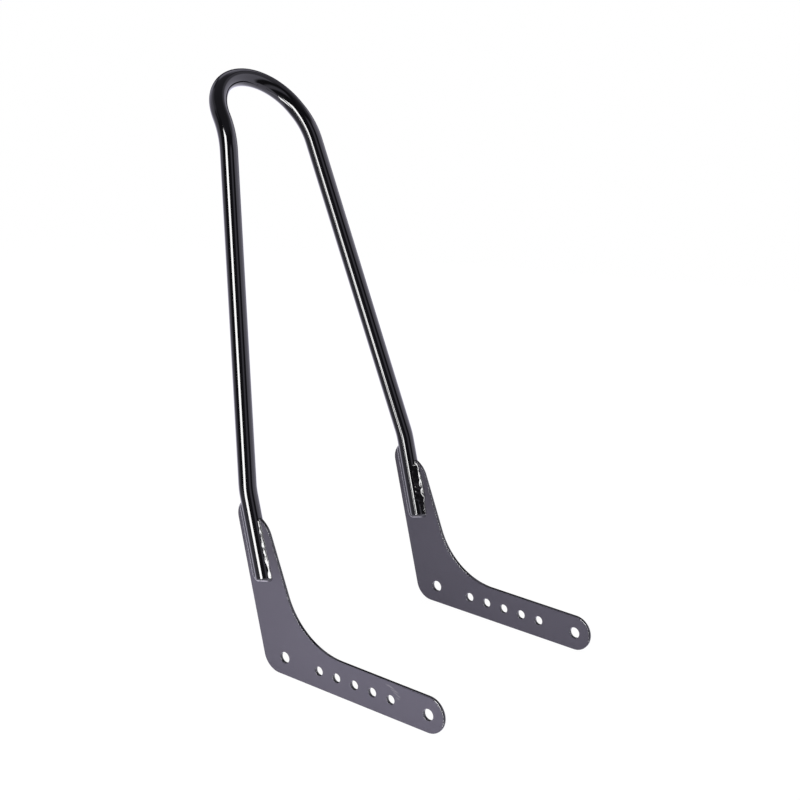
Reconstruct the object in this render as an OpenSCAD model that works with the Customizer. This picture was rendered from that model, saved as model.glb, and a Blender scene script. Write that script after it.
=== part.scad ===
// Sissy bar: one bent round bar seated in two slotted side plates, welded on both faces.
// Millimetres. +Z is up, -Y is forward along the plates' arms, and +X is the bike's left.
// The origin is the middle of the row of bolt holes, half way between the two plates.

/* [Round bar] */
// Diameter of the round bar
bar_d = 16; // [12:0.5:18]
// Length of each straight foot, from its cut end to the middle of the first bend
foot_len = 79.6; // [76:0.2:110]
// Height of the legs above that bend, measured along their lean
leg_rise = 305; // [220:5:420]
// Width of the loop between centre lines, at the middle of the kick bends
loop_w = 105; // [80:1:130]
// Straight length between each kick bend and the top bend
loop_straight = 4; // [2:1:40]
// How far each side of the loop leans in towards the top bend
loop_taper = 13.5; // [4:0.5:20]
// How far the loop kicks back from the lean of the legs
kick_back = 27; // [10:1:45]
// Centre line radius of the bends above the feet
foot_bend_r = 60; // [30:5:90]
// Centre line radius of the kick bends
kick_bend_r = 68; // [30:2:100]

/* [Side plates] */
// Thickness of the plates
plate_t = 3; // [2:0.5:6]
// Clear width between the plates
inner_w = 214; // [180:1:250]
// Height of the forward arm
arm_w = 33; // [28:1:38]
// Lean of the legs and of the plates' rear edges, back from upright
lean = 15; // [8:1:20]
// How much more the front edge of the upright leans
front_flare = 8; // [2:1:12]
// Distance from the bar's centre line to the rear edge of the upright
rear_margin = 16.5; // [13:0.5:20]
// Distance from the bar's centre line to the front edge, where the front horn begins
front_margin = 17.2; // [14:0.2:22]
// Height of the rear horn's centre above the bar's cut end
rear_horn_s = 55.5; // [45:0.5:62]
// Height above the bar's cut end at which the front horn begins to round over
front_horn_s = 38; // [30:1:44]
// Radius of the front horn's rounded top
front_horn_r = 24; // [22:1:30]
// Radius of the heel corner
heel_r = 18; // [8:1:24]
// Radius of the large curve between arm and upright
inner_r = 68; // [40:2:80]
// Play between the bar and each side of its slot
slot_clear = 0.3; // [0.1:0.1:0.6]

/* [Bolt holes] */
// Spacing of the small holes
hole_pitch = 20; // [18:0.5:24]
// Diameter of the five small holes
small_hole_d = 8.5; // [6:0.5:12]
// Diameter of the holes at the heel and the tip
main_hole_d = 10.5; // [8:0.1:14]
// Distance from the middle of the row to the heel hole and to the tip hole
main_reach = 80; // [66:1:100]
// How far the bar's cut end lies behind the heel hole
foot_back = 26.2; // [20:0.2:32]
// How high the bar's cut end lies above the row of holes
foot_up = 68; // [55:1:90]

/* [Weld beads] */
// Radius of the bead
bead_r = 2.3; // [1.8:0.1:3.2]
// Distance between the bead's ripples
ripple_pitch = 2.4; // [1.8:0.1:3]
// How far the bead's own centre lies out from the corner between bar and plate
bead_out = 0.5; // [0.2:0.1:1]

/* [Hidden] */
$fn = 96;
bar_r = bar_d / 2;
half_arm = arm_w / 2;
plate_x = (inner_w + plate_t) / 2;
small_holes = 5;

// Each run reaches this far into the bends beside it, which are thinner by seam_step
seam_lap = 0.05;
seam_step = 0.002;

// Side view points are [y, z]. "up" runs along the bar, "back" is square to it.
up = [sin(lean), cos(lean)];
back = [cos(lean), -sin(lean)];
front_up = [sin(lean + front_flare), cos(lean + front_flare)];
foot = [main_reach + foot_back, foot_up];
function on_upright(s, off) = foot + s * up + off * back;

// Corners of the side view, before they are rounded
heel_s = (-half_arm - foot[1] - rear_margin * back[1]) / up[1];
heel = on_upright(heel_s, rear_margin);
heel_t = heel_r * tan((90 - lean) / 2);
front_top = on_upright(front_horn_s, -front_margin);
inner = front_top - front_up * (front_top[1] - half_arm) / front_up[1];
inner_t = inner_r * tan((90 - lean - front_flare) / 2);
front_horn = [front_horn_r * cos(front_flare) - front_margin,
              front_horn_s - front_horn_r * sin(front_flare)];

// The bar's centre line: corners in the frame of the leaning legs, where z runs up the lean
kick_s = foot_len + leg_rise;
half_loop = loop_w / 2;
loop_dir = [-sin(loop_taper), cos(loop_taper) * sin(kick_back), cos(loop_taper) * cos(kick_back)];
leg_dir = unit([half_loop - plate_x, 0, leg_rise]);
kick_trim = kick_bend_r * tan(acos(leg_dir * loop_dir) / 2);
foot_end = [plate_x, 0, 0];
foot_corner = [plate_x, 0, foot_len];
kick_corner = [half_loop, 0, kick_s];
peak_corner = kick_corner + half_loop / sin(loop_taper) * loop_dir;
top_bend_r = (half_loop - (kick_trim + loop_straight) * sin(loop_taper)) / cos(loop_taper);
function flip(p) = [-p[0], p[1], p[2]];
corners = [foot_end, foot_corner, kick_corner, peak_corner,
           flip(kick_corner), flip(foot_corner), flip(foot_end)];
bends = [0, foot_bend_r, kick_bend_r, top_bend_r, kick_bend_r, foot_bend_r, 0];
last = len(corners) - 1;

function unit(v) = v / norm(v);
function dir(i) = unit(corners[i + 1] - corners[i]);
function turn(i) = acos(dir(i - 1) * dir(i));
function turn_axis(i) = unit(cross(dir(i - 1), dir(i)));
function trim(i) = i == 0 || i == last ? 0 : bends[i] * tan(turn(i) / 2);
function run_length(i) = norm(corners[i + 1] - corners[i]) - trim(i) - trim(i + 1);

// How far the bar is rolled about its own line between one bend and the next
function roll(i) = i == 1 ? 0 : atan2(dir(i - 1) * cross(turn_axis(i - 1), turn_axis(i)),
                                      turn_axis(i - 1) * turn_axis(i));

module in_leg_frame() {
    translate([0, foot[0], foot[1]])
        rotate([-lean, 0, 0])
            children();
}

// The bar from one straight run on: the run, its bend, and then the rest from the bend's end
module bar_from(i) {
    length = run_length(i);
    lap_in = i == 0 ? 0 : seam_lap;
    lap_out = i == last - 1 ? 0 : seam_lap;
    translate([0, 0, -lap_in])
        cylinder(r = bar_r, h = lap_in + length + lap_out);
    if (i < last - 1)
        translate([0, 0, length])
            rotate([0, 0, roll(i + 1)])
                translate([-bends[i + 1], 0, 0]) {
                    rotate([90, 0, 0])
                        rotate_extrude(angle = turn(i + 1))
                            translate([bends[i + 1], 0])
                                circle(r = bar_r - seam_step);
                    rotate([0, -turn(i + 1), 0])
                        translate([bends[i + 1], 0, 0])
                            bar_from(i + 1);
                }
}

module hoop_bar() {
    color([0.03, 0.03, 0.035])
        in_leg_frame()
            translate(foot_end)
                bar_from(0);
}

// Side view with x square to the bar, y up the bar, and the middle of its cut end at 0
module on_bar_line() {
    translate(foot)
        rotate(-lean)
            children();
}

// The part of a disc that lies in front of the bar's centre line (-1) or behind it (1)
module horn(side, centre, r) {
    intersection() {
        translate(centre) circle(r = r);
        translate([side * r, centre[1]]) square([2 * r, 3 * r], center = true);
    }
}

// The open slot that the bar's foot sits in, with the cut end on its floor
module slot() {
    half_slot = bar_r + slot_clear;
    on_bar_line()
        translate([-half_slot, 0])
            square([2 * half_slot, foot_len + front_horn_r]);
}

// Side view of a plate: straight edges between the points where its arcs begin, and the arcs
module plate_outline() {
    difference() {
        union() {
            polygon([
                [-main_reach, -half_arm],
                heel - [heel_t, 0],
                heel + heel_t * up,
                on_upright(rear_horn_s, rear_margin),
                on_upright(rear_horn_s, 0),
                on_upright(front_horn_s, 0),
                front_top,
                inner + inner_t * front_up,
                inner - [inner_t, 0],
                [-main_reach, half_arm]
            ]);
            translate([-main_reach, 0]) circle(r = half_arm);
            translate(heel + [-heel_t, heel_r]) circle(r = heel_r);
            on_bar_line() {
                horn(1, [0, rear_horn_s], rear_margin);
                horn(-1, front_horn, front_horn_r);
            }
        }
        translate(inner + [-inner_t, inner_r]) circle(r = inner_r);
        slot();
    }
}

module bolt_hole(y, d) {
    translate([-plate_t, y, 0])
        rotate([0, 90, 0])
            cylinder(d = d, h = 2 * plate_t);
}

module plate(side) {
    color([0.12, 0.115, 0.14])
        translate([side * plate_x, 0, 0])
            difference() {
                rotate([90, 0, 90])
                    linear_extrude(height = plate_t, center = true)
                        plate_outline();
                for (y = [-main_reach, main_reach]) bolt_hole(y, main_hole_d);
                for (i = [0 : small_holes - 1])
                    bolt_hole((i - (small_holes - 1) / 2) * hole_pitch, small_hole_d);
            }
}

// A straight bead up the z axis: overlapping ripples turned about that axis
module bead(length) {
    count = max(1, round(length / ripple_pitch));
    rotate_extrude()
        intersection() {
            for (i = [0 : count])
                translate([0, i * length / count]) circle(r = bead_r);
            translate([0, -bead_r]) square([bead_r, length + 2 * bead_r]);
        }
}

// The bead down both sides of the foot and under its end, on one face of a plate
module weld(side, face) {
    face_x = plate_t / 2;
    seat = face * (face_x + bead_out);
    off = sqrt(bar_r * bar_r - face_x * face_x) + bead_out;
    rear_top = rear_horn_s + sqrt(rear_margin * rear_margin - off * off) - bead_r / 2;
    front_top_s = front_horn[1] + sqrt(pow(front_horn_r, 2) - pow(off + front_horn[0], 2)) - bead_r / 2;
    color([0.05, 0.05, 0.06])
        in_leg_frame()
            translate([side * plate_x, 0, 0])
                difference() {
                    intersection() {
                        union() {
                            translate([seat, off, -bead_out]) bead(rear_top + bead_out);
                            translate([seat, -off, -bead_out]) bead(front_top_s + bead_out);
                            translate([seat, ripple_pitch - off, -bead_out])
                                rotate([-90, 0, 0])
                                    bead(2 * (off - ripple_pitch));
                        }
                        translate([face > 0 ? face_x : -face_x - bar_d, -bar_d, -bar_d])
                            cube([bar_d, 2 * bar_d, kick_s]);
                    }
                    cylinder(r = bar_r, h = foot_len);
                }
}

module right_plate() { plate(-1); }
module left_plate() { plate(1); }
module right_outer_weld() { weld(-1, -1); }
module right_inner_weld() { weld(-1, 1); }
module left_inner_weld() { weld(1, -1); }
module left_outer_weld() { weld(1, 1); }

hoop_bar();
right_plate();
left_plate();
right_outer_weld();
right_inner_weld();
left_inner_weld();
left_outer_weld();
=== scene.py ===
"""Sissy bar: a gloss black hoop of round bar, welded into two slotted, laser-cut side plates.

Lengths below are in millimetres and repeat the part's own sizes. Meshes are made in metres, in the
part's frame: +X is the bike's left, -Y is forward along the plates' arms, +Z is up.
"""

import math

import bpy
import numpy as np
from mathutils import Matrix, Vector
from mathutils.geometry import tessellate_polygon


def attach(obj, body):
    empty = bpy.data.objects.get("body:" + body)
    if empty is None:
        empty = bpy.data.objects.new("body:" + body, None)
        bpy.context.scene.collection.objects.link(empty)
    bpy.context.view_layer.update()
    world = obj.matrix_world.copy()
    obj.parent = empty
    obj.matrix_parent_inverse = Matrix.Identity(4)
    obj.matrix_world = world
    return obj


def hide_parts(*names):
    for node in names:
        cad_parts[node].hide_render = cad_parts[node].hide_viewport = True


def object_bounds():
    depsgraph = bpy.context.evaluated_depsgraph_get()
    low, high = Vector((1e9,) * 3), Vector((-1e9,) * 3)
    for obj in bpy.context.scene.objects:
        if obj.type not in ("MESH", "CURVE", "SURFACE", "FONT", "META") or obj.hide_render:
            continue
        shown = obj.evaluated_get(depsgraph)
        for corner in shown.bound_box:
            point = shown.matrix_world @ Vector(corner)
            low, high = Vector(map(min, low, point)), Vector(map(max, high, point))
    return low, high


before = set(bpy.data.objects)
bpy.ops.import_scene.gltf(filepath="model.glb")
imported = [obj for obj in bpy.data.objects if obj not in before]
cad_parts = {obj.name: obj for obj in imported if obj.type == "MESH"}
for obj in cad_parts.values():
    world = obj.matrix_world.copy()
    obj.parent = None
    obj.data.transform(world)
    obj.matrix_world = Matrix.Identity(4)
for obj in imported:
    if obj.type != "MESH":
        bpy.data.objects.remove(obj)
cad_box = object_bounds()

# Sizes of the round bar
BAR_R = 8.0
FOOT_LEN = 79.6
LEG_RISE = 305.0
LOOP_W = 105.0
LOOP_STRAIGHT = 4.0
LOOP_TAPER = 13.5
KICK_BACK = 27.0
FOOT_BEND_R = 60.0
KICK_BEND_R = 68.0
END_CHAMFER = 0.6

# Length of bar from one ring of its mesh to the next, and points in a ring
RING_STEP = 1.6
RING_POINTS = 72

# Sizes of the side plates
PLATE_T = 3.0
INNER_W = 214.0
PLATE_X = (INNER_W + PLATE_T) / 2
HALF_ARM = 16.5
LEAN = 15.0
FRONT_FLARE = 8.0
REAR_MARGIN = 16.5
FRONT_MARGIN = 17.2
REAR_HORN_S = 55.5
FRONT_HORN_S = 38.0
FRONT_HORN_R = 24.0
HEEL_R = 18.0
INNER_R = 68.0
HALF_SLOT = BAR_R + 0.3

# Rounding of the plates' edges: outer faces, inner faces below UPPER_Z, the dressed tips in front of TIP_Y, and holes
OUTER_EDGE_R = 0.15
INNER_EDGE_R = 0.5
UPPER_Z = 80.0
TIP_EDGE_R = 0.9
TIP_Y = -74.0
HOLE_EDGE_R = 0.2

# Bolt holes, and where the bar's cut end lies
MAIN_REACH = 80.0
MAIN_HOLE_R = 5.25
SMALL_HOLE_R = 4.25
HOLE_PITCH = 20.0
FOOT = np.array([MAIN_REACH + 26.2, 68.0])

# Welds: how far the right plate's outer one spreads over the plate behind the bar, and how far the others do. Then how
# far each spreads under the bar, and how high it stands behind it.
RIGHT_TOE = 3.9
REAR_TOE = 3.0
UNDER_TOE = 2.3
HEIGHT = 2.5

# Width of the painted highlight line at the toe behind and under the bar
LINE_W = 1.0

# Where a weld ends: how much further out than its seam the horn's edge is there, and how it tapers off
END_INSET = 1.4
END_TAPER = 2.2

# Radius of a weld's run at the corners of the bar's end, and how finely its run and its section are divided
CORNER_R = 1.2
RUN_STEP = 0.2
SECTION_STEPS = 24

# A weld turns from its rear section into its front one here across the bar
FRONT_FROM = -4.0

# Humps of a weld: one in this much length, with these ranges of size and of height as a share of the size
HUMP_SPACING = 1.3
HUMP_SIZES = (0.9, 2.0)
HUMP_HEIGHTS = (-0.08, 0.09)

# Length over a weld's section for each radian of its angle
SECTION_ARC = 3.4

# How much the humps of the left plate's inner weld are held down on its ledge
LEDGE_CALM = 0.6

# A weld's front: from its toe it lies at the first slope as far as its ledge reaches, and then at the second. The
# right plate's outer weld also has a small step at its toe, which grows from STEP_FROM to STEP_TO up the bar.
STEP = 0.7
STEP_FROM = 8.0
STEP_TO = 30.0
LEDGE_SLOPE = 0.40
STEEP_SLOPE = 0.72

# Height up the bar, toe and ledge of the right plate's outer weld, and of the left plate's inner one
RIGHT_FRONT = [
    (55, 0.6, 2.0), (51, 0.6, 2.0), (45, 0.8, 2.0), (40.6, 1.5, 3.0), (38.4, 0.8, 1.4), (34.8, 0.9, 1.3),
    (31.6, 1.8, 2.6), (28.9, 2.0, 3.2), (27.1, 1.1, 1.4), (23.5, 1.4, 1.5), (19.9, 1.5, 1.5), (17.2, 1.9, 1.8),
    (15.4, 2.5, 3.2), (12.7, 2.0, 1.9), (9.1, 1.9, 1.3), (6.9, 2.2, 1.5), (4.6, 2.4, 2.4), (1.9, 2.5, 3.2),
]
LEFT_FRONT = [
    (53, 3.9, 3.4), (49, 3.8, 1.2), (46.8, 3.8, 1.1), (42.4, 4.0, 1.4), (39.9, 4.5, 2.0), (36.9, 5.0, 2.4),
    (34.4, 4.6, 2.0), (31.4, 5.3, 3.4), (28.5, 4.9, 3.4), (27.0, 4.2, 0.2), (24.5, 5.2, 3.0), (21.0, 5.2, 3.4),
    (18.0, 4.9, 1.6), (16.5, 4.6, 0.2), (13.5, 3.4, 1.0), (11.0, 3.2, 0.1), (9.1, 3.0, 1.4), (6.5, 2.6, 0.1),
    (4.1, 2.9, 2.0), (2.0, 2.2, 0.2),
]

# Millimetres to metres
MM = 0.001


def sind(a):
    return math.sin(math.radians(a))


def cosd(a):
    return math.cos(math.radians(a))


def unit(v):
    return v / np.linalg.norm(v, axis=-1, keepdims=True)


# Up the bar and square to it, as (y, z), and the centre of the front horn's round top, as (across, up the bar)
UP = np.array([sind(LEAN), cosd(LEAN)])
BACK = np.array([cosd(LEAN), -sind(LEAN)])
FRONT_HORN = (FRONT_HORN_R * cosd(FRONT_FLARE) - FRONT_MARGIN, FRONT_HORN_S - FRONT_HORN_R * sind(FRONT_FLARE))


def from_leg_frame(p):
    """Leaning leg coordinates to the part's frame: turned by the lean about X, then moved to the foot."""
    y = FOOT[0] + p[..., 1] * cosd(LEAN) + p[..., 2] * sind(LEAN)
    z = FOOT[1] - p[..., 1] * sind(LEAN) + p[..., 2] * cosd(LEAN)
    return np.stack([p[..., 0], y, z], -1)


def corners_to_path(corners, radii, step):
    """A line through the corners with each one rounded: straight runs, and arcs tangent to both."""
    corners = [np.asarray(c, float) for c in corners]
    start, pieces = corners[0], []
    for i in range(1, len(corners)):
        d = unit(corners[i] - corners[i - 1])
        last = i == len(corners) - 1
        d2 = d if last else unit(corners[i + 1] - corners[i])
        turn = math.acos(min(1.0, float(d @ d2)))
        trim = 0.0 if last else radii[i] * math.tan(turn / 2)
        end = corners[i] - trim * d
        t = np.linspace(0, 1, max(2, int(np.linalg.norm(end - start) / step)), endpoint=False)
        pieces.append(start + t[:, None] * (end - start))
        if last:
            pieces.append(corners[i][None])
            break
        out = np.cross(d, unit(np.cross(d, d2)))
        a = np.linspace(0, turn, max(6, int(turn * radii[i] / step)), endpoint=False)[:, None]
        pieces.append(end + radii[i] * ((np.cos(a) - 1) * out + np.sin(a) * d))
        start = corners[i] + trim * d2
    return np.concatenate(pieces)


def bar_centre_line(step):
    """The hoop's centre line, foot to foot, from its corners in the frame of the leaning legs."""
    half = LOOP_W / 2
    top = FOOT_LEN + LEG_RISE
    loop = np.array([-sind(LOOP_TAPER), cosd(LOOP_TAPER) * sind(KICK_BACK), cosd(LOOP_TAPER) * cosd(KICK_BACK)])
    leg = unit(np.array([half - PLATE_X, 0, LEG_RISE]))
    kick_trim = KICK_BEND_R * math.tan(math.acos(float(leg @ loop)) / 2)
    top_r = (half - (kick_trim + LOOP_STRAIGHT) * sind(LOOP_TAPER)) / cosd(LOOP_TAPER)
    kick = np.array([half, 0, top])
    peak = kick + half / sind(LOOP_TAPER) * loop
    side = [np.array([PLATE_X, 0, 0]), np.array([PLATE_X, 0, FOOT_LEN]), kick]
    flip = np.array([-1, 1, 1])
    corners = side + [peak] + [c * flip for c in reversed(side)]
    radii = [0, FOOT_BEND_R, KICK_BEND_R, top_r, KICK_BEND_R, FOOT_BEND_R, 0]
    return from_leg_frame(corners_to_path(corners, radii, step))


def make_object(name, verts, faces, material, smooth=True):
    mesh = bpy.data.meshes.new(name)
    mesh.from_pydata(np.asarray(verts).tolist(), [], faces)
    mesh.polygons.foreach_set("use_smooth", np.full(len(mesh.polygons), smooth))
    mesh.materials.append(material)
    mesh.update()
    obj = bpy.data.objects.new(name, mesh)
    bpy.context.scene.collection.objects.link(obj)
    return obj


def grid_faces(rows, cols, first=0):
    """Quads of a grid whose columns wrap round, as an array of corner numbers."""
    i, j = np.meshgrid(np.arange(rows - 1), np.arange(cols), indexing="ij")
    k = (j + 1) % cols
    quad = np.stack([i * cols + j, i * cols + k, (i + 1) * cols + k, (i + 1) * cols + j], -1)
    return (first + quad.reshape(-1, 4)).tolist()


def tube(name, rings, material):
    """A closed tube from rings of points: a quad grid between them and a fan over each end."""
    rows, cols, _ = rings.shape
    verts = rings.reshape(-1, 3)
    ends = np.stack([rings[0].mean(0), rings[-1].mean(0)])
    faces = grid_faces(rows, cols)
    near, far, tail = rows * cols, rows * cols + 1, (rows - 1) * cols
    j = np.arange(cols)
    k = (j + 1) % cols
    faces += np.stack([np.full(cols, near), k, j], -1).tolist()
    faces += np.stack([np.full(cols, far), tail + j, tail + k], -1).tolist()
    return make_object(name, np.concatenate([verts, ends]) * MM, faces, material)


def hoop(material):
    """Each ring is a circle square to the centre line: centre + r (cos a * side + sin a * out)."""
    line = bar_centre_line(RING_STEP)
    along = unit(np.gradient(line, axis=0))
    between = LEAN + KICK_BACK / 2
    square = np.array([0, cosd(between), -sind(between)])
    side = unit(np.cross(along, square))
    out = np.cross(side, along)
    ends = np.array([0, END_CHAMFER])
    line = np.concatenate([line[0] + ends[:, None] * along[0], line[1:-1], line[-1] - ends[::-1, None] * along[-1]])
    side, out = (np.concatenate([v[:1], v, v[-1:]]) for v in (side, out))
    radius = np.full(len(line), BAR_R)
    radius[[0, -1]] -= END_CHAMFER
    a = np.linspace(0, 2 * math.pi, RING_POINTS, endpoint=False)[None, :, None]
    rings = line[:, None] + radius[:, None, None] * (np.cos(a) * side[:, None] + np.sin(a) * out[:, None])
    return tube("round_bar", rings, material)


def arc(centre, r, a0, a1, step=0.8):
    """Points of a circle in the side view, from angle a0 to a1 in degrees."""
    n = max(4, int(abs(math.radians(a1 - a0)) * r / step))
    a = np.radians(np.linspace(a0, a1, n))[:, None]
    return np.asarray(centre) + r * np.concatenate([np.cos(a), np.sin(a)], 1)


def on_upright(s, off):
    return FOOT + s * UP + off * BACK


def plate_outline():
    """The plate's side view, anticlockwise: arcs tangent to the straight edges, and the open slot."""
    front_lean = LEAN + FRONT_FLARE
    front_up = np.array([sind(front_lean), cosd(front_lean)])
    heel = on_upright((-HALF_ARM - FOOT[1] - REAR_MARGIN * BACK[1]) / UP[1], REAR_MARGIN)
    heel_t = HEEL_R * math.tan(math.radians((90 - LEAN) / 2))
    front_top = on_upright(FRONT_HORN_S, -FRONT_MARGIN)
    inner = front_top - front_up * (front_top[1] - HALF_ARM) / front_up[1]
    inner_t = INNER_R * math.tan(math.radians((90 - front_lean) / 2))
    rear_end = math.degrees(math.acos(HALF_SLOT / REAR_MARGIN))
    front_start = math.degrees(math.acos((-HALF_SLOT - FRONT_HORN[0]) / FRONT_HORN_R))
    return np.concatenate([
        arc([-MAIN_REACH, 0], HALF_ARM, 90, 270),
        arc(heel + [-heel_t, HEEL_R], HEEL_R, -90, -LEAN),
        arc(on_upright(REAR_HORN_S, 0), REAR_MARGIN, -LEAN, rear_end - LEAN),
        [on_upright(0, HALF_SLOT), on_upright(0, -HALF_SLOT)],
        arc(on_upright(FRONT_HORN[1], FRONT_HORN[0]), FRONT_HORN_R, front_start - LEAN, 180 - front_lean),
        arc(inner + [-inner_t, INNER_R], INNER_R, -front_lean, -90),
    ])


def inset(loop, d):
    """The loop moved inwards by d: each corner goes along the mean of its edges' normals."""
    before = unit(loop - np.roll(loop, 1, 0))
    after = unit(np.roll(loop, -1, 0) - loop)
    n0 = np.stack([-before[:, 1], before[:, 0]], -1)
    n1 = np.stack([-after[:, 1], after[:, 0]], -1)
    mid = unit(n0 + n1)
    return loop + d * mid / np.maximum((mid * n0).sum(-1, keepdims=True), 0.4)


def edge_rounding(loop):
    """Radius at each point of the outline, for the outer and the inner face."""
    tip = np.clip((TIP_Y - loop[:, 0]) / 6, 0, 1)
    low = np.clip((UPPER_Z - loop[:, 1]) / 20, 0, 1)
    outer = OUTER_EDGE_R + (TIP_EDGE_R - OUTER_EDGE_R) * tip
    inner = outer + (INNER_EDGE_R - OUTER_EDGE_R) * low * (1 - tip)
    return outer, inner


def wall_rings(loop, low_r, high_r):
    """A rounded wall: the loop at each height, moved in by r (1 - sin a) as each of its two edges turns over."""
    a = np.linspace(0, math.pi / 2, 5)
    rings = []
    for sign, r in ((-1, low_r), (1, high_r)):
        rows = [(r * (1 - math.sin(v)), sign * (PLATE_T / 2 - r * (1 - math.cos(v)))) for v in a]
        rings += rows if sign < 0 else rows[::-1]
    return [(inset(loop, d[:, None]), h) for d, h in rings]


def flat_face(loops, outward):
    """Triangles between an outline and its holes. Each loop is its first corner's number and its points."""
    numbers = np.concatenate([first + np.arange(len(p)) for first, p in loops])
    points = np.concatenate([p for _, p in loops])
    faces = []
    for tri in tessellate_polygon([[Vector((*q, 0)) for q in p] for _, p in loops]):
        a, b, c = points[list(tri)]
        area = (b[0] - a[0]) * (c[1] - a[1]) - (b[1] - a[1]) * (c[0] - a[0])
        ids = [int(numbers[t]) for t in tri]
        faces.append(ids if area * outward > 0 else ids[::-1])
    return faces


def plate(name, side, material):
    """Rounded walls carried round the outline and each hole, with flat faces filled between them."""
    holes = [(MAIN_REACH, MAIN_HOLE_R), (-MAIN_REACH, MAIN_HOLE_R)]
    holes += [(i * HOLE_PITCH, SMALL_HOLE_R) for i in range(-2, 3)]
    loops = [plate_outline()] + [arc([y, 0], r, 0, -360, 0.5)[:-1] for y, r in holes]
    verts, faces, lids = [], [], ([], [])
    count = 0
    for loop in loops:
        hole_r = np.full(len(loop), HOLE_EDGE_R)
        outer, inner = (hole_r, hole_r) if count else edge_rounding(loop)
        rings = wall_rings(loop, *((inner, outer) if side > 0 else (outer, inner)))
        n = len(loop)
        for pts, h in rings:
            verts.append(np.column_stack([side * PLATE_X + h, pts]))
        quads = grid_faces(len(rings), n, count)
        faces += [q[::-1] for q in quads]
        lids[0].append((count, rings[0][0]))
        lids[1].append((count + n * (len(rings) - 1), rings[-1][0]))
        count += n * len(rings)
    for outward, lid in zip((-1, 1), lids):
        faces += flat_face(lid, outward)
    obj = make_object(name, np.concatenate(verts) * MM, faces, material)
    obj.modifiers.new("flat faces stay flat", "WEIGHTED_NORMAL").keep_sharp = True
    return obj


def horn_top(centre, r, off):
    """Height up the bar at which the horn's rounded top is off from the bar's centre line."""
    return centre[1] + math.sqrt(r**2 - (off - centre[0]) ** 2)


def weld_run(seam):
    """The seam in the side view: down from the rear horn's top, round the bar's end and up to the front horn's top."""
    rear_top = horn_top([0, REAR_HORN_S], REAR_MARGIN, seam + END_INSET)
    front_top = horn_top(FRONT_HORN, FRONT_HORN_R, -seam - END_INSET)
    corners = [[seam, rear_top, 0], [seam, 0, 0], [-seam, 0, 0], [-seam, front_top, 0]]
    return corners_to_path(corners, [0, CORNER_R, CORNER_R, 0], RUN_STEP)[:, :2]


def smooth(v):
    """Each value averaged with its neighbours, under a rounded window."""
    window = np.hanning(9)
    return np.convolve(np.pad(v, 4, "edge"), window / window.sum(), "valid")


def widest_toe(line, seam):
    """How far a toe may reach at each point before its painted highlight line would leave the plate."""
    front = np.sqrt(np.maximum(FRONT_HORN_R**2 - np.maximum(line[:, 1] - FRONT_HORN[1], 0) ** 2, 0)) - FRONT_HORN[0]
    rear = np.sqrt(REAR_MARGIN**2 - np.maximum(line[:, 1] - REAR_HORN_S, 0) ** 2)
    return np.maximum(np.where(line[:, 0] < 0, front, rear) - seam - LINE_W - 0.3, 0.4)


def front_rise(x, ledge):
    """Height of a weld's front at x in from its toe: the first slope over the ledge, and the second after it."""
    return LEDGE_SLOPE * np.minimum(x, ledge) + STEEP_SLOPE * np.maximum(x - ledge, 0)


def humps(rng, t, a):
    """Push of random round humps at length t and section angle a: each height * exp(-(distance / size)^2)."""
    count = int(t[-1] / HUMP_SPACING)
    hump_t = rng.uniform(0, t[-1], count)
    hump_a = rng.uniform(0.1, 1.3, count) * SECTION_ARC
    size = rng.uniform(*HUMP_SIZES, count)
    tall = rng.uniform(*HUMP_HEIGHTS, count) * size
    gap = ((t[:, None, None] - hump_t) ** 2 + (SECTION_ARC * a[None, :, None] - hump_a) ** 2) / size**2
    return (tall * np.exp(-gap)).sum(-1)


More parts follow.
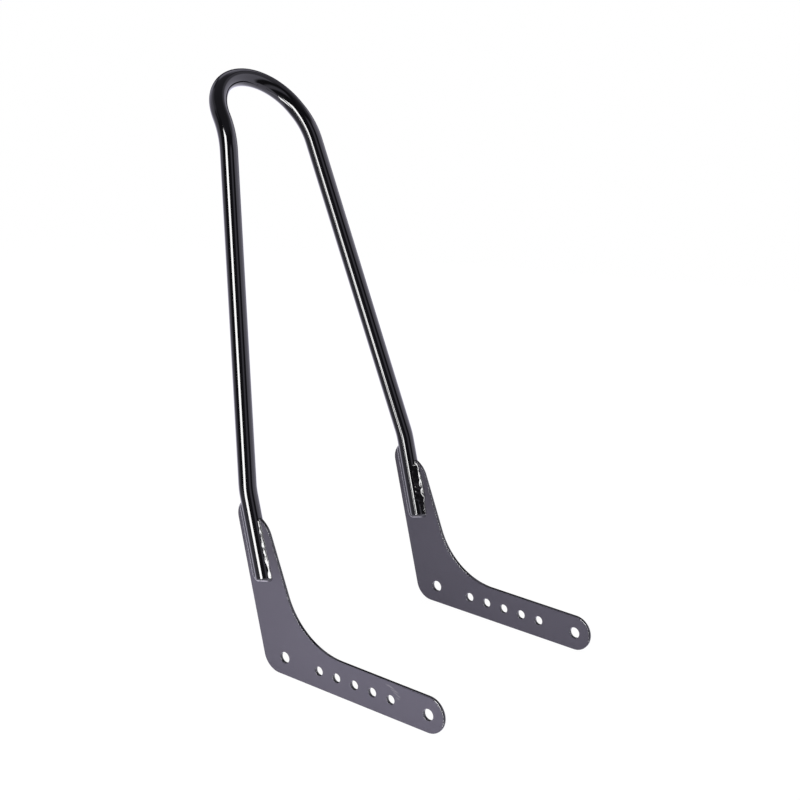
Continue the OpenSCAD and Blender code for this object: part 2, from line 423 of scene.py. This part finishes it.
def weld(name, side, face, seed, material, rows=RIGHT_FRONT, rear_toe=REAR_TOE, step=0.0, calm=0.0):
    """A weld round the foot, flush with the plate at its toe and with the bar at its top.

    Behind and under the bar its section is full: toe - (toe + root) * (1 - cos a) across and height * sin a out, for a
    from 0 to 90. In front it rises at two slopes from a toe that strays. Humps roughen it, mostly in front and below,
    and calm holds them down on the ledge. The attribute toe_line is 1 on a strip at the toe behind and under the bar,
    where the weld coat paints a pale highlight.
    """
    seam = math.sqrt(BAR_R**2 - (PLATE_T / 2) ** 2)
    line = weld_run(seam)
    along = unit(np.gradient(line, axis=0))
    across = np.stack([-along[:, 1], along[:, 0]], -1)
    s = line[:, 1]
    t = np.concatenate([[0], np.cumsum(np.linalg.norm(np.diff(line, axis=0), axis=1))])

    # Shares of the front section, of the part under the bar, of roughness, and of full size at the two ends
    front = 1 / (1 + np.exp(line[:, 0] - FRONT_FROM))
    below = np.clip((2.0 - s) / 2, 0, 1)
    rough = np.maximum(0.1 + 0.9 * front, 1.3 * below)
    cap = np.clip(np.minimum(t, t[-1] - t) / END_TAPER, 0.02, 1)
    cap = np.sqrt(cap * (2 - cap))

    # Widths of the toe and the ledge
    heights, toes, ledges = zip(*rows[::-1])
    toe = front * np.interp(s, heights, toes) + (1 - front) * rear_toe
    toe += (UNDER_TOE - toe) * below * (1 - 0.5 * front)
    toe, ledge = smooth(toe), smooth(np.interp(s, heights, ledges))
    toe = np.minimum(toe, widest_toe(line, seam))

    # How far in its root lies, where its height meets the bar
    full = HEIGHT * (1 - 0.5 * below)
    lift = step * np.interp(s, (STEP_FROM, STEP_TO), (0, 1))
    root = np.full(len(t), 0.5)
    for _ in range(5):
        high = front * (lift + front_rise(toe + root, ledge)) + (1 - front) * full
        root = np.where(s > 0.5, seam - np.sqrt(BAR_R**2 - (PLATE_T / 2 + high) ** 2), 0.0)

    # The section at each point of the run: x in from the toe and rise out from the plate, with its humps
    a = np.linspace(0, math.pi / 2, SECTION_STEPS)
    front, ledge = front[:, None], ledge[:, None]
    x = (toe + root)[:, None] * (front * np.sin(a) + (1 - front) * (1 - np.cos(a)))
    ramp = front_rise(x, ledge) + lift[:, None] * np.clip(x / 0.25, 0, 1)
    rise = front * ramp + (1 - front) * full[:, None] * np.sin(a)
    on_ledge = np.clip((ledge - x) / 0.5, 0, 1) * front
    still = (1 - calm * on_ledge) * np.clip(a / 0.25, 0, 1) * np.clip((1.5 - a) / 0.3, 0, 1)
    push = humps(np.random.default_rng(seed), t, a) * rough[:, None] * still
    out = toe[:, None] - x + push * np.sin(a)
    up = rise + push * np.cos(a)

    # A thin strip outside the toe takes the painted highlight line, and the back of the section is hidden in plate and
    # bar
    strip = toe[:, None] + LINE_W * np.linspace(1, 0, 5)[None, :]
    out = np.concatenate([strip, out[:, 1:]], 1)
    up = np.concatenate([np.tile([0, 0.04, 0.05, 0.05, 0.05], (len(t), 1)), np.maximum(up, 0.05)[:, 1:]], 1)
    out = np.where(out > 0, out * cap[:, None], out)
    up = np.maximum(up, 0) * cap[:, None]
    hidden = np.tile([[-2.6, HEIGHT * 0.4], [-2.6, -0.5], [0.8, -0.5]], (len(t), 1, 1))
    section = np.concatenate([np.stack([out, up], -1), hidden], 1)
    flat = line[:, None, :] + section[..., :1] * across[:, None, :]
    leg = np.stack([side * PLATE_X + face * (PLATE_T / 2 + section[..., 1]), flat[..., 0], flat[..., 1]], -1)
    rings = from_leg_frame(leg)

    # Where the pale painted highlight goes at the toe, behind and under the bar
    shares = np.zeros(rings.shape[:2])
    shares[:, :5] = (1 - front) * np.array([0.8, 1, 1, 1, 0.6])
    shares[:, 5:8] = below[:, None] * (1 - front) * 0.5
    if face > 0:
        rings, shares = rings[:, ::-1], shares[:, ::-1]
    obj = tube(name, rings, material)
    shares = np.append(shares.ravel(), [0, 0])
    obj.data.attributes.new("toe_line", "FLOAT", "POINT").data.foreach_set("value", shares.astype(np.float32))
    return obj


def principled(name, **sockets):
    """A material with its plain values set on the shader's own sockets."""
    mat = bpy.data.materials.new(name)
    mat.use_nodes = True
    shader = mat.node_tree.nodes["Principled BSDF"]
    for key, value in sockets.items():
        shader.inputs[key.replace("_", " ")].default_value = value
    return mat, mat.node_tree.nodes, mat.node_tree.links, shader


def noise(nodes, links, scale, detail=3.0, roughness=0.5):
    coords = nodes.new("ShaderNodeTexCoord")
    tex = nodes.new("ShaderNodeTexNoise")
    tex.inputs["Scale"].default_value = scale
    tex.inputs["Detail"].default_value = detail
    tex.inputs["Roughness"].default_value = roughness
    links.new(coords.outputs["Object"], tex.inputs["Vector"])
    return tex


def remap(nodes, links, value, low, high, to_low, to_high):
    node = nodes.new("ShaderNodeMapRange")
    for key, v in (("From Min", low), ("From Max", high), ("To Min", to_low), ("To Max", to_high)):
        node.inputs[key].default_value = v
    links.new(value, node.inputs["Value"])
    return node.outputs["Result"]


def colour_mix(nodes, links, share, first, second):
    mix = nodes.new("ShaderNodeMix")
    mix.data_type = "RGBA"
    links.new(share, mix.inputs["Factor"])
    for key, value in (("A", first), ("B", second)):
        if isinstance(value, tuple):
            mix.inputs[key].default_value = (*value, 1)
        else:
            links.new(value, mix.inputs[key])
    return mix.outputs["Result"]


def maths(nodes, links, operation, first, second=None, clamp=False):
    """A math node's result from one or two other nodes' results."""
    node = nodes.new("ShaderNodeMath")
    node.operation = operation
    node.use_clamp = clamp
    links.new(first, node.inputs[0])
    if second is not None:
        links.new(second, node.inputs[1])
    return node.outputs[0]


def coordinate(nodes, links, kind, axis):
    """One axis of an object's own coordinates or of its normal."""
    coords = nodes.new("ShaderNodeTexCoord")
    split = nodes.new("ShaderNodeSeparateXYZ")
    links.new(coords.outputs[kind], split.inputs["Vector"])
    return split.outputs[axis]


def peel(nodes, links, shader, scale, height, strength):
    """Orange peel: the slight waviness of a baked coat."""
    bump = nodes.new("ShaderNodeBump")
    bump.inputs["Distance"].default_value = height
    bump.inputs["Strength"].default_value = strength
    tex = noise(nodes, links, scale, 2.0)
    links.new(tex.outputs["Fac"], bump.inputs["Height"])
    links.new(bump.outputs["Normal"], shader.inputs["Normal"])


# Base colours: the bar and all cut edges; a weld's outward faces, whose slate is a painted reflection of the pale
# studio;
# the pale line at its toe, a painted highlight; and the plates' faces, whose slate is the same painted reflection on
# the gloss black coat, darker above UPPER_FROM to UPPER_TO (in metres) as painted shade, and otherwise cloudy between
# two tones. Then the scuffs.
BLACK = (0.0010, 0.0009, 0.0013)
WELD_SLATE = (0.045, 0.042, 0.056)
TOE_GLINT_PALE = (0.50, 0.48, 0.56)
SLATE_UPPER_SHADE = (0.074, 0.068, 0.088)
UPPER_FROM = 0.064
UPPER_TO = 0.095
SLATE_DARK = (0.100, 0.093, 0.123)
SLATE_PALE = (0.110, 0.102, 0.134)
SCUFF_PALE = (0.20, 0.19, 0.22)

# Where the pale scuffs lie on the right plate's outer face: (y, z) of each stroke's middle, its slope and half length
SCUFF_HALF_W = 1.0
SCUFFS = [((-37.6, 12.3), -8, 4.2), ((-41.0, 11.6), -14, 4.6), ((-42.4, 9.6), -10, 3.6), ((-46.0, 9.4), -16, 3.4),
          ((-45.0, 7.6), -12, 3.0), ((-48.4, 6.2), -20, 3.0), ((-48.0, 3.8), -14, 2.6)]


def bar_paint():
    mat, nodes, links, shader = principled("gloss_black_bar_coat", Base_Color=(*BLACK, 1), IOR=1.5)
    gloss = remap(nodes, links, noise(nodes, links, 60).outputs["Fac"], 0.3, 0.7, 0.045, 0.065)
    links.new(gloss, shader.inputs["Roughness"])
    peel(nodes, links, shader, 160, 0.00002, 0.012)
    return mat


def on_flat_faces(nodes, links, low, high):
    """1 where the surface faces across the bike, as the plates' cut faces do, and 0 on edges and hole walls. The slate
    painted reflection goes where it is 1.
    """
    size = maths(nodes, links, "ABSOLUTE", coordinate(nodes, links, "Normal", "X"))
    return remap(nodes, links, size, low, high, 0.0, 1.0)


def weld_paint():
    mat, nodes, links, shader = principled("gloss_black_weld_coat", IOR=1.5)
    # Faces of the weld that lie flat across the bike take the slate painted reflection; the rest stays gloss black
    coat = colour_mix(nodes, links, on_flat_faces(nodes, links, 0.95, 0.995), BLACK, WELD_SLATE)
    # The strip at the toe takes a pale painted highlight, broken up by noise
    toe_line = nodes.new("ShaderNodeAttribute")
    toe_line.attribute_name = "toe_line"
    broken_glint = remap(nodes, links, noise(nodes, links, 260, 4.0, 0.65).outputs["Fac"], 0.36, 0.52, 0.6, 1.0)
    coat = colour_mix(nodes, links, maths(nodes, links, "MULTIPLY", toe_line.outputs["Fac"], broken_glint), coat, TOE_GLINT_PALE)
    links.new(coat, shader.inputs["Base Color"])
    gloss = remap(nodes, links, noise(nodes, links, 400).outputs["Fac"], 0.3, 0.7, 0.05, 0.12)
    links.new(gloss, shader.inputs["Roughness"])
    peel(nodes, links, shader, 1100, 0.00012, 0.25)
    return mat


def scuffs(nodes, links):
    """Short pale strokes: each is 1 inside a thin ellipse on the outer face and fades to 0 at its rim."""
    coords = nodes.new("ShaderNodeTexCoord")
    total = None
    for (y, z), slope, half in SCUFFS:
        place = nodes.new("ShaderNodeMapping")
        place.vector_type = "TEXTURE"
        place.inputs["Location"].default_value = (-(PLATE_X + PLATE_T / 2) * MM, y * MM, z * MM)
        place.inputs["Rotation"].default_value = (math.radians(180 - slope), 0, 0)
        place.inputs["Scale"].default_value = (half * MM, half * MM, SCUFF_HALF_W * MM)
        links.new(coords.outputs["Object"], place.inputs["Vector"])
        ball = nodes.new("ShaderNodeTexGradient")
        ball.gradient_type = "SPHERICAL"
        links.new(place.outputs["Vector"], ball.inputs["Vector"])
        if total is None:
            total = ball.outputs["Fac"]
            continue
        total = maths(nodes, links, "ADD", total, ball.outputs["Fac"], clamp=True)
    broken = remap(nodes, links, noise(nodes, links, 900).outputs["Fac"], 0.3, 0.6, 0.5, 1.0)
    return maths(nodes, links, "MULTIPLY", total, broken)


def plate_paint():
    mat, nodes, links, shader = principled("slate_black_plate_coat", IOR=1.5)
    # The slate of the flat faces is a painted reflection of the pale studio on the gloss black coat, cloudy between
    # two tones
    cloud = remap(nodes, links, noise(nodes, links, 9, 4.0).outputs["Fac"], 0.3, 0.7, 0.0, 1.0)
    coat = colour_mix(nodes, links, cloud, SLATE_DARK, SLATE_PALE)
    # Painted shade: the faces darken above UPPER_FROM
    upper_shade = remap(nodes, links, coordinate(nodes, links, "Object", "Z"), UPPER_FROM, UPPER_TO, 0.0, 1.0)
    coat = colour_mix(nodes, links, upper_shade, coat, SLATE_UPPER_SHADE)
    coat = colour_mix(nodes, links, scuffs(nodes, links), coat, SCUFF_PALE)
    # Cut edges and hole walls keep the gloss black; the slate painted reflection goes on the flat faces only
    coat = colour_mix(nodes, links, on_flat_faces(nodes, links, 0.62, 0.86), BLACK, coat)
    links.new(coat, shader.inputs["Base Color"])
    gloss = remap(nodes, links, noise(nodes, links, 45).outputs["Fac"], 0.3, 0.7, 0.10, 0.16)
    links.new(gloss, shader.inputs["Roughness"])
    peel(nodes, links, shader, 420, 0.00002, 0.05)
    return mat


# How wide the even light from above is, in degrees
SKY_ANGLE = 50


def lamp(name, at, aim, size, power, **visible):
    """A rectangular area lamp at one point, turned to face another. With no size it is an even light from there."""
    data = bpy.data.lights.new(name, "AREA" if size else "SUN")
    if size:
        data.shape = "RECTANGLE"
        data.size, data.size_y = size
    else:
        data.angle = math.radians(SKY_ANGLE)
    data.energy = power
    obj = bpy.data.objects.new(name, data)
    obj.location = at
    obj.rotation_euler = (Vector(aim) - Vector(at)).to_track_quat("-Z", "Y").to_euler()
    obj.visible_camera = False
    bpy.context.scene.collection.objects.link(obj)
    for key, value in visible.items():
        setattr(obj, "visible_" + key, value)
    return obj


# The studio that gloss shows: plain levels, and the panels of each band of height as (from, to, level), in degrees of
# azimuth from +X towards +Y. Between the panels a band has its own level.
DARK = 0.1
DIM = 0.5
PALE = 0.9
BRIGHT = 1.5
TABLE = (1.3, [(176, 206, 2.0)])
LOW = (DARK, [(292, 105, BRIGHT), (105, 215, DIM), (244, 264, PALE)])
WALL = (DARK, [(290, 8, BRIGHT), (68, 134, PALE), (244, 264, PALE)])
SOFFIT = (DARK, [(6, 62, PALE), (88, 150, DIM), (186, 210, DIM), (298, 355, DIM)])
SKY = (0.2, [])
PANEL_EDGE = 5

# Where each band gives way to the next one up, in degrees above the horizon
BANDS = ((LOW, -46, -38), (WALL, -9, -4), (SOFFIT, 29, 36), (SKY, 45, 54))

# Share of green and blue in each level, and the plain grey that lights matt surfaces
STUDIO_GREEN = 0.97
STUDIO_BLUE = 1.16
MATT_LEVEL = 0.15


def studio_band(nodes, links, turn, band):
    """A band of the studio: its level by azimuth, with 180 degrees at both ends of the ramp.

    A panel's level fades over PANEL_EDGE to each side of its ends. Panels that touch share that fade.
    """
    ramp = nodes.new("ShaderNodeValToRGB")
    between, panels = band
    levels = {} if panels else {0: between}
    for start, end, level in panels:
        levels.setdefault(start - PANEL_EDGE, between)
        levels[start + PANEL_EDGE] = levels[end - PANEL_EDGE] = level
        levels.setdefault(end + PANEL_EDGE, between)
    stops = sorted(((azimuth / 360 + 0.5) % 1, level) for azimuth, level in levels.items())
    (p0, a), (p1, b) = stops[0], stops[-1]
    joint = b + (a - b) * (1 - p1) / (1 - p1 + p0)
    stops = [(0.0, joint)] + stops + [(1.0, joint)]
    while len(ramp.color_ramp.elements) < len(stops):
        ramp.color_ramp.elements.new(0.5)
    for element, (place, level) in zip(ramp.color_ramp.elements, stops):
        element.position = place
        element.color = (level, STUDIO_GREEN * level, STUDIO_BLUE * level, 1)
    links.new(turn, ramp.inputs["Fac"])
    return ramp.outputs["Color"]


def studio():
    """White to the camera and plain grey to matt surfaces. Gloss sees a white table and pale and dark walls."""
    world = bpy.data.worlds.new("studio")
    bpy.context.scene.world = world
    world.use_nodes = True
    nodes, links = world.node_tree.nodes, world.node_tree.links
    nodes.clear()
    coords = nodes.new("ShaderNodeTexCoord")
    turn = nodes.new("ShaderNodeTexGradient")
    turn.gradient_type = "RADIAL"
    links.new(coords.outputs["Generated"], turn.inputs["Vector"])
    height = coordinate(nodes, links, "Generated", "Z")
    seen = studio_band(nodes, links, turn.outputs["Fac"], TABLE)
    for band, low, high in BANDS:
        share = remap(nodes, links, height, sind(low), sind(high), 0.0, 1.0)
        seen = colour_mix(nodes, links, share, seen, studio_band(nodes, links, turn.outputs["Fac"], band))
    path = nodes.new("ShaderNodeLightPath")
    matt, gloss, white = (nodes.new("ShaderNodeBackground") for _ in range(3))
    matt.inputs["Color"].default_value = (0.98, 0.97, 1.0, 1)
    matt.inputs["Strength"].default_value = MATT_LEVEL
    links.new(seen, gloss.inputs["Color"])
    white.inputs["Color"].default_value = (1, 1, 1, 1)
    last = matt
    for ray, shade in (("Is Glossy Ray", gloss), ("Is Camera Ray", white)):
        mix = nodes.new("ShaderNodeMixShader")
        links.new(path.outputs[ray], mix.inputs["Fac"])
        links.new(last.outputs[0], mix.inputs[1])
        links.new(shade.outputs[0], mix.inputs[2])
        last = mix
    out = nodes.new("ShaderNodeOutputWorld")
    links.new(last.outputs[0], out.inputs["Surface"])


# The floor: how much of it is plain white to the camera, how bright that is, and in metres half its width and how far
# it lies below the part
WHITE_SHARE = 0.92
WHITE_GLOW = 1.05
FLOOR_HALF = 12.0
FLOOR_GAP = 0.0002


def floor(under):
    """A pale floor just under the plates, mostly white to the camera, so that only a faint shadow shows."""
    mat = bpy.data.materials.new("white_floor")
    mat.use_nodes = True
    nodes, links = mat.node_tree.nodes, mat.node_tree.links
    nodes.clear()
    matt = nodes.new("ShaderNodeBsdfDiffuse")
    matt.inputs["Color"].default_value = (0.9, 0.9, 0.9, 1)
    glow = nodes.new("ShaderNodeEmission")
    glow.inputs["Strength"].default_value = WHITE_GLOW
    path = nodes.new("ShaderNodeLightPath")
    share = nodes.new("ShaderNodeMath")
    share.operation = "MULTIPLY"
    share.inputs[1].default_value = WHITE_SHARE
    links.new(path.outputs["Is Camera Ray"], share.inputs[0])
    mix = nodes.new("ShaderNodeMixShader")
    links.new(share.outputs[0], mix.inputs["Fac"])
    links.new(matt.outputs[0], mix.inputs[1])
    links.new(glow.outputs[0], mix.inputs[2])
    out = nodes.new("ShaderNodeOutputMaterial")
    links.new(mix.outputs[0], out.inputs["Surface"])
    corners = [(x * FLOOR_HALF, y * FLOOR_HALF, under) for x, y in ((-1, -1), (1, -1), (1, 1), (-1, 1))]
    obj = make_object("floor", corners, [(0, 1, 2, 3)], mat, smooth=False)
    obj.visible_glossy = False
    obj.visible_shadow = False


# The photograph's viewpoint: where the camera stands in metres, and its focal length in pixels of an 800-pixel frame.
# The angles are the azimuth and height above the horizon of the line back to the camera, and its roll.
CAMERA_AT = (-1.098874, -0.831912, 0.641443)
FOCAL_LENGTH = 1674.63
FRAME_WIDTH = 800
AZIMUTH = -51.346
CAMERA_HEIGHT = 16.694
ROLL = 1.659


def camera():
    """The camera, turned by its own three axes: right, up and back."""
    out = cosd(CAMERA_HEIGHT)
    back = Vector((sind(AZIMUTH) * out, -cosd(AZIMUTH) * out, sind(CAMERA_HEIGHT)))
    level = (-back).cross(Vector((0, 0, 1))).normalized()
    upright = level.cross(-back)
    right = cosd(ROLL) * level + sind(ROLL) * upright
    up = -sind(ROLL) * level + cosd(ROLL) * upright
    data = bpy.data.cameras.new("camera")
    data.sensor_width = 36.0
    data.lens = FOCAL_LENGTH / FRAME_WIDTH * data.sensor_width
    data.clip_end = 100
    obj = bpy.data.objects.new("camera", data)
    turn = Matrix((right, up, back)).transposed().to_4x4()
    obj.matrix_world = Matrix.Translation(CAMERA_AT) @ turn
    bpy.context.scene.collection.objects.link(obj)
    bpy.context.scene.camera = obj


camera()
bar_coat, plate_coat, weld_coat = bar_paint(), plate_paint(), weld_paint()
pieces = [
    (hoop(bar_coat), "hoop_bar", "bar_coat"),
    (plate("right_side_plate", -1, plate_coat), "right_plate", "plate_coat"),
    (plate("left_side_plate", 1, plate_coat), "left_plate", "plate_coat"),
    (weld("right_outer_bead", -1, -1, 11, weld_coat, RIGHT_FRONT, RIGHT_TOE, STEP), "right_outer_weld", "weld_coat"),
    (weld("right_inner_bead", -1, 1, 12, weld_coat), "right_inner_weld", "weld_coat"),
    (weld("left_inner_bead", 1, -1, 13, weld_coat, LEFT_FRONT, calm=LEDGE_CALM), "left_inner_weld", "weld_coat"),
    (weld("left_outer_bead", 1, 1, 14, weld_coat), "left_outer_weld", "weld_coat"),
]
for piece, node, slot in pieces:
    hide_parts(node)
    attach(piece, "root")

studio()
floor(cad_box[0].z - FLOOR_GAP)
lamp("strip_softbox", (-2.60, -0.20, 0.25), (0, 0.15, 0.25), (1.12, 5.0), 440, diffuse=False)
lamp("side_softbox", (-0.47, -0.07, 0.11), (0, -0.03, 0.04), (0.5, 0.6), 2.5, glossy=False)
lamp("far_softbox", (1.3, 0.7, 0.6), (0, 0.10, 0.10), (0.9, 0.9), 6, glossy=False)
lamp("top_light", (0, 0, 3), (0, 0, 0), None, 1.0, glossy=False)

bpy.context.scene.view_settings.view_transform = "Standard"
